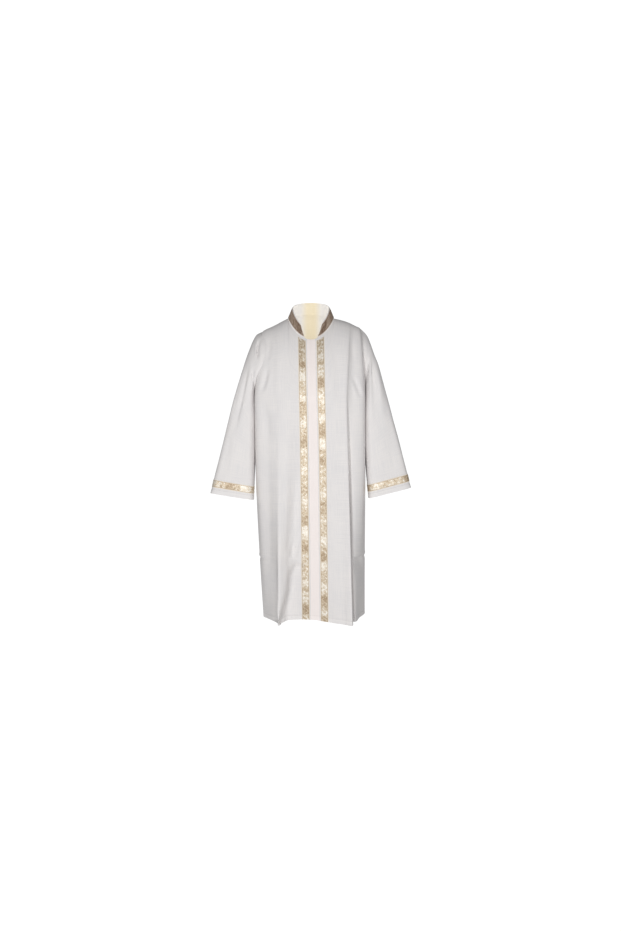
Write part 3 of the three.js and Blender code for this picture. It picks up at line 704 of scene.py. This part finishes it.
# The collar: up from the neckline along a direction that leans in towards the neck, with its ends
# slanted back by a share of the height.
def collarSurface(column, height):
    fromEnd = np.minimum(column % girth, girth - column % girth) - edges["collarEnd"]
    fade = np.maximum(1 - fromEnd / collarCut["slantReach"], 0)
    onLeft = column < centreBack
    slant = np.where(onLeft, collarCut["slantLeft"], collarCut["slantRight"])
    slant = slant * fade * height / collarCut["height"]
    arc = np.where(onLeft, column + slant, column - slant)
    angle = topOf(arc)[3]
    forward = np.cos(angle)
    endLean = np.where(forward > 0, collarCut["frontLean"], collarCut["backLean"])
    lean = np.radians(mix(collarCut["sideLean"], endLean, np.abs(forward)))
    rise = np.stack([-np.sin(angle) * np.sin(lean), forward * np.sin(lean), np.cos(lean)], axis=-1)
    along = unit(neckPoint(angle + 0.01) - neckPoint(angle - 0.01))
    normal = unit(np.cross(along, rise))
    upright = rise - along * np.sum(rise * along, axis=-1, keepdims=True)
    tall = np.linalg.norm(upright, axis=-1)
    panelNormal = normalOf(bodyPoint, arc, np.full_like(arc, 2.0), stepHeight=0.04)
    square = np.maximum(np.sum(upright * panelNormal, axis=-1) / tall, 0)
    clear = (collarCut["clear"] + half * square) / tall
    return topPoint(arc) + rise * (clear + height)[..., None], normal


def collarGrid(heights):  # round the neckline, from the wearer's right end past the back to the left
    front = np.linspace(edges["collarEnd"], lineArc[2], 60)
    back = np.linspace(lineArc[12], lineArc[16], 160)
    columns = np.concatenate([girth - front, back[::-1][1:-1], front[::-1]])
    return collarSurface(*np.meshgrid(columns, heights))


def makeCollar():
    tall, margin = collarCut["height"], collarCut["trimMargin"]
    heights = np.array([0, 0.6, 1.5, 3, 4, 8, 12, 18, 24, 30, 36, 40, 44, 45.5, 46.8, 47.5, tall])
    points, normals = collarGrid(heights)
    along = runOf(points[len(heights) // 2])[1]
    high = half + rollIn(tall - heights, 0.5, 0.8) + rollIn(heights, 0.4, 0.8)
    body = shell("collar", points, normals, -half, high[:, None], gridUv(along, heights))
    finishPiece(body, robe, "robe_cloth", "collar")
    heights = np.concatenate([[-1.4, -0.9], heights])
    points, normals = collarGrid(heights)
    low = -trimLow - cloth["lining"] - rollIn(tall - heights, 0.5, 0.8)
    lining = shell("collar_lining", points, normals, low[:, None], -trimLow, gridUv(along, heights))
    finishPiece(lining, cream, "cream_cloth", "collar_lining")
    heights = np.linspace(margin, tall - margin, 25)
    points, normals = collarGrid(heights)
    across = (heights - tall / 2) * ribbonHalf / (tall / 2 - margin)
    uv = gridUv(along, across)[..., ::-1]
    ribbon = shell("trim_collar", points, normals, trimLow, ribbonTop(across)[:, None], uv)
    finishPiece(ribbon, collarShadedGold, "gold_brocade", "trim_collar")


makeCollar()
facingFoot = 1 + 4 / 9  # the height where the facing inside the back neck ends


def makeFacing():
    columns = np.linspace(lineArc[12], lineArc[16], 60)
    points, normals = stripGrid(columns, np.linspace(facingFoot, 2, 60))
    points[-1, :, 1] += cloth["seamGap"] / 2
    low = -trimLow - cloth["lining"]
    piece = shell("neck_facing", points, normals, low, -trimLow, flatUv(columns, points))
    finishPiece(piece, cream, "cream_cloth", "neck_facing")


makeFacing()
print("stage: trims and collar")

# A sleeve: outer and inner lines seen from the front, from the cuff up, and the rings between them.
sleeveCut = {
    1: dict(
        outer=[(413, -708), (317, -340), (286, -225), (261, -142), (244, -92), (233, -70), (208, -44)],
        inner=[(240, -752), (226, -540)], name="left",
    ),
    -1: dict(
        outer=[(415, -731), (317, -340), (286, -225), (261, -142), (242, -92), (228, -70), (208, -59)],
        inner=[(239, -759), (233.5, -540)], name="right",
    ),
}
rings = np.array([  # distance up the outer and the inner line, half the depth, middle y
    (700, 419, 64, 0), (650, 410, 68, 0), (590, 396, 70, -1), (510, 368, 69, -3), (420, 322, 66, -6),
    (330, 266, 62, -10), (240, 205, 58, -14), (150, 138, 52, -18), (56, 56, 47, -21), (26, 26, 46, -22),
    (0, 0, 45, -23),
], float)
ringNumbers = np.arange(len(rings))
sleeveFlat = 0.48
sleeveFolds = [  # from ring, to ring, angle there in degrees from the outer line forwards, width, depth
    (0.5, 8.5, 30, 78, 24, -3), (1.0, 9.5, 70, 118, 26, 3), (2.0, 9.0, -50, -80, 26, -8),
    (2.5, 9.5, -105, -120, 28, 7),
]


def armholePoint(side, way):  # way 0 is the armpit and 1 the shoulder point, up one side and down the other
    rise = np.where(way <= 1, way, 2 - way)
    seam = leftSeam if side > 0 else rightSeam
    away = np.where((way <= 1) == (side > 0), -1.0, 1.0) * cloth["seamGap"] / 2
    place = besideArmhole(seam + away, 1 + rise)
    normal = normalOf(bodyPoint, place, 1 + rise, stepHeight=0.04)
    return bodyPoint(place, 1 + rise) + normal * armhole["lap"]


def lineAt(points, distance):  # the point at a distance along a smooth line through the points
    lengths, starts = runOf(points)
    index = np.clip(np.searchsorted(starts, distance, side="right") - 1, 0, len(lengths) - 1)
    ends = np.concatenate([[2 * points[0] - points[1]], points, [2 * points[-1] - points[-2]]])
    return curveThrough(*(ends[index + k] for k in range(4)), (distance - starts[index]) / lengths[index])


def sleeveFrame(side, ring):  # each ring's middle, half width, direction across and half depth
    cut = sleeveCut[side]
    flat = lambda places: np.array([(side * x, 0.0, z) for x, z in places])
    armpit = abs(armholePoint(side, np.zeros(1))[0, 0])
    outer, inner = flat(cut["outer"]), flat(cut["inner"] + [(armpit, cloth["armpitZ"])])
    up, under, depth, middleY = (np.interp(ring, ringNumbers, rings[:, k]) for k in range(4))
    spread = smooth(up, 60, 400)
    outerScale = runOf(outer)[0].sum() / rings[0, 0]
    innerScale = runOf(inner)[0].sum() / rings[0, 1]
    top = lineAt(outer, up * mix(1, outerScale, spread))
    low = lineAt(inner, under * mix(1, innerScale, spread))
    middle = (top + low) / 2
    middle[..., 1] = middleY
    width = np.linalg.norm(top - low, axis=-1)
    return middle, width / 2, (top - low) / width[..., None], depth


# A point of a ring by its angle: an ellipse whose sides are flattened by a power below the armhole.
def onRing(middle, halfWidth, across, depth, angle, power=1.0):
    flat = lambda value: np.sign(value) * np.abs(value) ** power
    place = middle + across * (halfWidth * flat(np.cos(angle)))[..., None]
    place[..., 1] -= depth * flat(np.sin(angle))
    return place


sleeveCreases = {
    1: [
        dict(
            line=[(250, -140), (252, -205), (255, -262), (259, -330), (264, -400), (270, -460)],
            width=(12, 7), depth=-8, fadeIn=0.2, fadeOut=0.5,
        ),
        dict(line=[(236, -225), (228, -262), (217, -305)], width=5, depth=-4, fadeIn=0.2, fadeOut=0.2),
        dict(line=[(240, -170), (234, -215), (222, -262)], width=6, depth=-3.5),
        dict(line=[(216, -110), (219, -140), (216, -180)], width=6, depth=-2.5),
        dict(line=[(238, -300), (240, -480), (254, -700)], width=9, depth=3, lip=0),
        dict(line=[(300, -420), (330, -560), (350, -700)], width=20, depth=-3, lip=0.2),
    ],
    -1: [
        dict(
            line=[(-252, -190), (-262, -232), (-275, -299), (-284, -350), (-300, -420), (-314, -520)],
            width=(8, 20), depth=-9, fadeIn=0.25, fadeOut=0.5,
        ),
        dict(line=[(-214, -98), (-218, -140), (-215, -188)], width=(6, 5), depth=-10, fadeIn=0.2),
        dict(line=[(-240, -226), (-231, -290), (-218, -342)], width=5.5, depth=-4.5, fadeIn=0.2, fadeOut=0.1),
        dict(line=[(-222, -345), (-226, -420), (-229, -480)], width=5, depth=-5, fadeIn=0.15),
        dict(line=[(-244, -300), (-250, -480), (-262, -700)], width=10, depth=3, lip=0),
        dict(line=[(-330, -480), (-350, -600), (-362, -700)], width=20, depth=-3, lip=0.2),
    ],
}


# The sleeve: an ellipse on each ring, pulled onto the armhole near the top, with soft folds down it.
def sleevePoint(side, way, ring):
    way = (way + 2) % 2
    armholeAt = armholePoint(side, way)
    first = sleeveFrame(side, np.zeros(1))
    middle, halfWidth, across, depth = (value[0] for value in first)
    start = armholeAt - middle
    angle = np.arctan2(-start[..., 1] / depth, start @ across / halfWidth)
    shape = sleeveFrame(side, ring)
    place = onRing(*shape, angle, mix(1.0, sleeveFlat, smooth(ring, 0.5, 4)))
    cap = 1 - smooth(ring, 0, 3)
    topRing = [value[0] + 0 * shape[k] for k, value in enumerate(first)]
    place = place + (armholeAt - onRing(*topRing, angle)) * cap[..., None]
    outward = unit(place - shape[0])
    for fromRing, toRing, startAngle, endAngle, width, depthOfFold in sleeveFolds:
        along = np.clip((ring - fromRing) / (toRing - fromRing), 0, 1)
        off = (angle - np.radians(mix(startAngle, endAngle, along))) / math.radians(width)
        strength = np.maximum(np.sin(math.pi * along), 0) ** 0.7 * np.exp(-(off**2))
        place = place + outward * (depthOfFold * strength)[..., None]
    front = smooth(shape[0][..., 1] - place[..., 1], -6, 14)
    x, z, creases = place[..., 0], place[..., 2], sleeveCreases[side]  # the back has them a little lower
    relief = creasesAt(x, z, creases) * front + creasesAt(x * 1.03, z + 34, creases) * (1 - front) * 0.8
    relief = relief * smooth(ring, 0, 0.5)
    relief = relief + 0.6 * np.sin(way * 19 + ring * 1.3) * np.sin(way * 7 - ring * 2.1) * smooth(ring, 0, 1)
    return place + outward * relief[..., None]


cuff = dict(turn=20.0, stitch=18.0, trimFrom=26.0, trimTo=56.0)  # mm up from the sleeve's edge


def ringAtUp(up):  # ring number at a distance up the outer line
    return np.interp(-np.asarray(up, float), -rings[:, 0], ringNumbers)


def sleeveGrid(side, ups, columns=116):
    ways = np.arange(columns) * 2 / columns
    way, ring = np.meshgrid(ways, ringAtUp(ups))
    points = sleevePoint(side, way, ring)
    along = sleevePoint(side, way + 0.012, ring) - sleevePoint(side, way - 0.012, ring)
    above, below = np.maximum(ring - 0.03, 0), np.minimum(ring + 0.03, ringNumbers[-1])
    up = sleevePoint(side, way, above) - sleevePoint(side, way, below)
    return points, unit(np.cross(along, up)) * side


def tubeUv(points, up):  # round the tube in mm, and up
    lengths = np.linalg.norm(np.diff(points, axis=1, append=points[:, :1]), axis=-1).mean(axis=0)
    return gridUv(np.concatenate([[0], np.cumsum(lengths)]), up)


def makeSleeve(side):
    name, tall = "sleeve_" + sleeveCut[side]["name"], rings[0, 0]
    nearCuff = np.array([0, 0.7, 1.8, 8, 14, 17, 18, 19, 22])
    nearTop = tall - np.array([14, 7, 3.5, 1.8, 0.8, 0])
    ups = np.concatenate([nearCuff, np.arange(26, 686, 4.0), nearTop])[::-1]
    points, normals = sleeveGrid(side, ups)
    turned = 1 - smooth(ups, cuff["turn"] - 1.5, cuff["turn"] + 1.5)
    ditch = np.exp(-(((ups - cuff["stitch"]) / 1.2) ** 2))
    edgeRound = np.exp(-((ups / 0.7) ** 2))
    high = half + 0.3 * turned - 0.4 * ditch - 0.5 * edgeRound + rollIn(tall - ups, 0.6, 1.5)
    low = -half - 1.1 * turned + 0.5 * edgeRound
    piece = shell(name, points, normals, low[:, None], high[:, None], tubeUv(points, ups), joined=True)
    finishPiece(piece, robe, "robe_cloth", name)
    closed = np.concatenate([points, points[:, :1]], axis=1)
    areaOf(closed)


def makeCuffTrim(side):
    label = sleeveCut[side]["name"]
    ups = np.linspace(cuff["trimTo"], cuff["trimFrom"], 25)
    points, normals = sleeveGrid(side, ups, 232)
    middle, reach = (cuff["trimTo"] + cuff["trimFrom"]) / 2, (cuff["trimTo"] - cuff["trimFrom"]) / 2
    across = (ups - middle) * ribbonHalf / reach
    uv = tubeUv(points, across)
    uv = uv[..., ::-1] + np.array([0.0, patternStart["cuff"][side]])
    high = ribbonTop(across)[:, None]
    ribbon = shell("trim_cuff_" + label, points, normals, trimLow, high, uv, joined=True)
    finishPiece(ribbon, gold, "gold_brocade", "trim_cuff_" + label)


for side in sleeveCut:
    makeSleeve(side)
    makeCuffTrim(side)
print("stage: sleeves")


# Stitches: spindles a stitch long, laid every pitch along a path and joined into one mesh.
def stitches(name, points, normals, radius=0.32, pitch=3.6, length=2.9):
    starts = runOf(points)[1]
    at = np.arange(pitch / 2, starts[-1], pitch)
    onPath = lambda values, places: np.stack([np.interp(places, starts, part) for part in values.T], axis=1)
    centre = onPath(points, at)
    ahead, up = unit(onPath(points, at + 1) - centre + 1e-6), unit(onPath(normals, at))
    aside = np.cross(ahead, up)
    along = np.array([-0.5, -0.3, 0.3, 0.5]) * length
    thick = np.array([0.15, 1, 1, 0.15]) * radius
    turn = np.arange(4) * math.pi / 2
    outwards = up[:, None] * np.cos(turn)[:, None] + aside[:, None] * np.sin(turn)[:, None]
    middles = centre[:, None, None] + ahead[:, None, None] * along[:, None, None]
    ring = middles + outwards[:, None] * thick[:, None, None]
    level, corner = cells(3, 4)
    foot, beside = level * 4, (corner + 1) % 4
    quads = np.stack([foot + corner, foot + beside, foot + 4 + beside, foot + 4 + corner], axis=1)
    quads = np.concatenate([quads, [[3, 2, 1, 0], [12, 13, 14, 15]]])
    faces = (np.arange(len(at))[:, None, None] * 16 + quads[None]).reshape(-1, 4)
    finishPiece(makeMesh(name, ring.reshape(-1, 3), faces), thread, "robe_cloth")


def hemStitches():
    arcs = np.linspace(edges["front"] + 2, girth - edges["front"] - 2, 900)
    height = np.full_like(arcs, hem["stitch"] / skirtLength)
    points, normals = clothPoint(arcs, height), normalOf(clothPoint, arcs, height)
    stitches("stitches_hem", points + normals * (half + 0.1), normals)


def cuffStitches(side):
    points, normals = sleeveGrid(side, np.array([cuff["stitch"]]), 232)
    path, up = (np.concatenate([grid[0], grid[0, :1]]) for grid in (points, normals))
    stitches("stitches_cuff_" + sleeveCut[side]["name"], path + up * (half + 0.1), up)


def trimStitches(name, side):
    for label, arc in (("inner", edges["trimInner"] + 1.2), ("outer", edges["trimOuter"] - 1.2)):
        heights = np.linspace(0.004, 1.935, 900)
        arcs = np.full_like(heights, side * arc)
        points, normals = clothPoint(arcs, heights), normalOf(clothPoint, arcs, heights)
        stitches(f"stitches_{name}_{label}", points + normals * (trimHigh - 0.12), normals, radius=0.25)


hemStitches()
cuffStitches(1)
cuffStitches(-1)
trimStitches("trim_left", 1)
trimStitches("trim_right", -1)
print("stage: stitches")

studio = dict(
    floorZ=-1.5, radius=6.0, wallTop=1.5, bend=1.5, white=1.05, below=0.42, above=0.14,
    skyFrom=-0.3, skyTo=0.7, keyAim=(0.0, 0.0, -0.6), fillAim=(0.0, 0.05, 0.0),
    keys=(  # x, y, z and size in metres, and watts
        (-1.2, -2.95, -0.5, 0.5, 34.5), (0.85, -3.1, -0.62, 1.0, 33.0), (0.9, 3.1, -0.3, 1.2, 42.0),
    ),
    fills=((2.0, -1.25, 0.1, 0.4, 34.5), (-2.0, -1.25, 0.1, 0.4, 34.5)),
)


# The backdrop: a pale floor that bends up into a wall all round and closes over in a dome, as one
# profile turned once round. It shines by itself, and only the camera sees it.
def makeBackdrop(look):
    radius, bend = look["radius"], look["bend"]
    low, high = np.linspace(0, math.pi / 2, 12), np.linspace(0, 0.9999 * math.pi / 2, 16)
    out = np.concatenate([[0.001, 2.0], radius - bend * (1 - np.sin(low)), radius * np.cos(high)])
    dome = look["wallTop"] - look["floorZ"] + radius * np.sin(high)
    up = np.concatenate([[0, 0], bend * (1 - np.cos(low)), dome]) + look["floorZ"]
    turn = np.arange(96) * 2 * math.pi / 96
    points = np.stack(np.broadcast_arrays(
        out[:, None] * np.cos(turn), out[:, None] * np.sin(turn), up[:, None],
    ), axis=-1) * 1000
    rows, columns = points.shape[:2]
    row, column = cells(rows - 1, columns)
    here, beside = row * columns + column, row * columns + (column + 1) % columns
    faces = np.stack([here, here + columns, beside + columns, beside], axis=1)
    backdrop = makeMesh("backdrop", points.reshape(-1, 3), faces)
    paint = Shade("backdropPaint", Roughness=1.0)
    place = paint.node("ShaderNodeTexCoord").outputs["Object"]
    grain = paint.node("ShaderNodeTexNoise", {"Vector": place, "Scale": 3.0}).outputs[0]
    black, nearBlack = colour(0, 0, 0), colour(0.02, 0.02, 0.02)
    paint.feed(paint.surface.inputs["Base Color"], paint.blend(grain, nearBlack, black))
    paint.surface.inputs["Emission Color"].default_value = colour(1, 1, 1)
    paint.surface.inputs["Emission Strength"].default_value = look["white"]
    backdrop.data.materials.append(paint.material)
    for rays in ("diffuse", "glossy", "transmission", "volume_scatter", "shadow"):
        setattr(backdrop, "visible_" + rays, False)


def areaLamp(name, energy, size, place, aim):
    lamp = bpy.data.lights.new(name, "AREA")
    lamp.energy, lamp.size = energy, size
    holder = bpy.data.objects.new(name, lamp)
    holder.location = place
    holder.rotation_euler = (Vector(aim) - Vector(place)).to_track_quat("-Z", "Y").to_euler()
    bpy.context.collection.objects.link(holder)
    return holder


def collect(name, pieces):
    made = bpy.data.collections.new(name)
    for piece in pieces:
        made.objects.link(piece)
    return made


# Two lamps in front and one behind that light everything but the lining, two more that light only the
# lining in the neck and throw no shadows, and a sky that is brighter low down.
def makeLights(look):
    lining = [bpy.data.objects[name] for name in ("collar_lining_cloth", "neck_facing_cloth")]
    others = [piece for piece in bpy.data.objects if piece.type == "MESH" and piece not in lining]
    outside, inside = collect("outside", others), collect("inside the neck", lining)
    farOff = collect("too far off to throw a shadow", [bpy.data.objects["backdrop_cloth"]])
    for *place, size, energy in look["keys"]:
        areaLamp("key", energy, size, place, look["keyAim"]).light_linking.receiver_collection = outside
    for *place, size, energy in look["fills"]:
        fill = areaLamp("neckFill", energy, size, place, look["fillAim"])
        fill.light_linking.receiver_collection = inside
        fill.light_linking.blocker_collection = farOff
    world = bpy.data.worlds.new("studio")
    world.use_nodes = True
    nodes, links = world.node_tree.nodes, world.node_tree.links
    direction = nodes.new("ShaderNodeSeparateXYZ")
    links.new(nodes.new("ShaderNodeTexCoord").outputs["Generated"], direction.inputs[0])
    strength = nodes.new("ShaderNodeMapRange")
    for socket, value in ((1, look["skyFrom"]), (2, look["skyTo"]), (3, look["below"]), (4, look["above"])):
        strength.inputs[socket].default_value = value
    links.new(direction.outputs[2], strength.inputs[0])
    nodes["Background"].inputs[0].default_value = colour(1, 1, 1)
    links.new(strength.outputs[0], nodes["Background"].inputs[1])
    bpy.context.scene.world = world


camera = dict(x=-0.002, z=-0.617, distance=2.6, tallAtRobe=3.910, sensor=36.0)


def makeCamera():
    lens = bpy.data.cameras.new("camera")
    lens.sensor_width = camera["sensor"]
    lens.lens = camera["sensor"] * camera["distance"] / camera["tallAtRobe"]
    lens.clip_end = 50
    eye = bpy.data.objects.new("camera", lens)
    eye.location = (camera["x"], -camera["distance"], camera["z"])
    eye.rotation_euler = (math.pi / 2, 0, 0)
    bpy.context.collection.objects.link(eye)
    bpy.context.scene.camera = eye


makeBackdrop(studio)
makeLights(studio)
makeCamera()
bpy.context.scene.view_settings.view_transform = "Standard"
print("stage: studio")
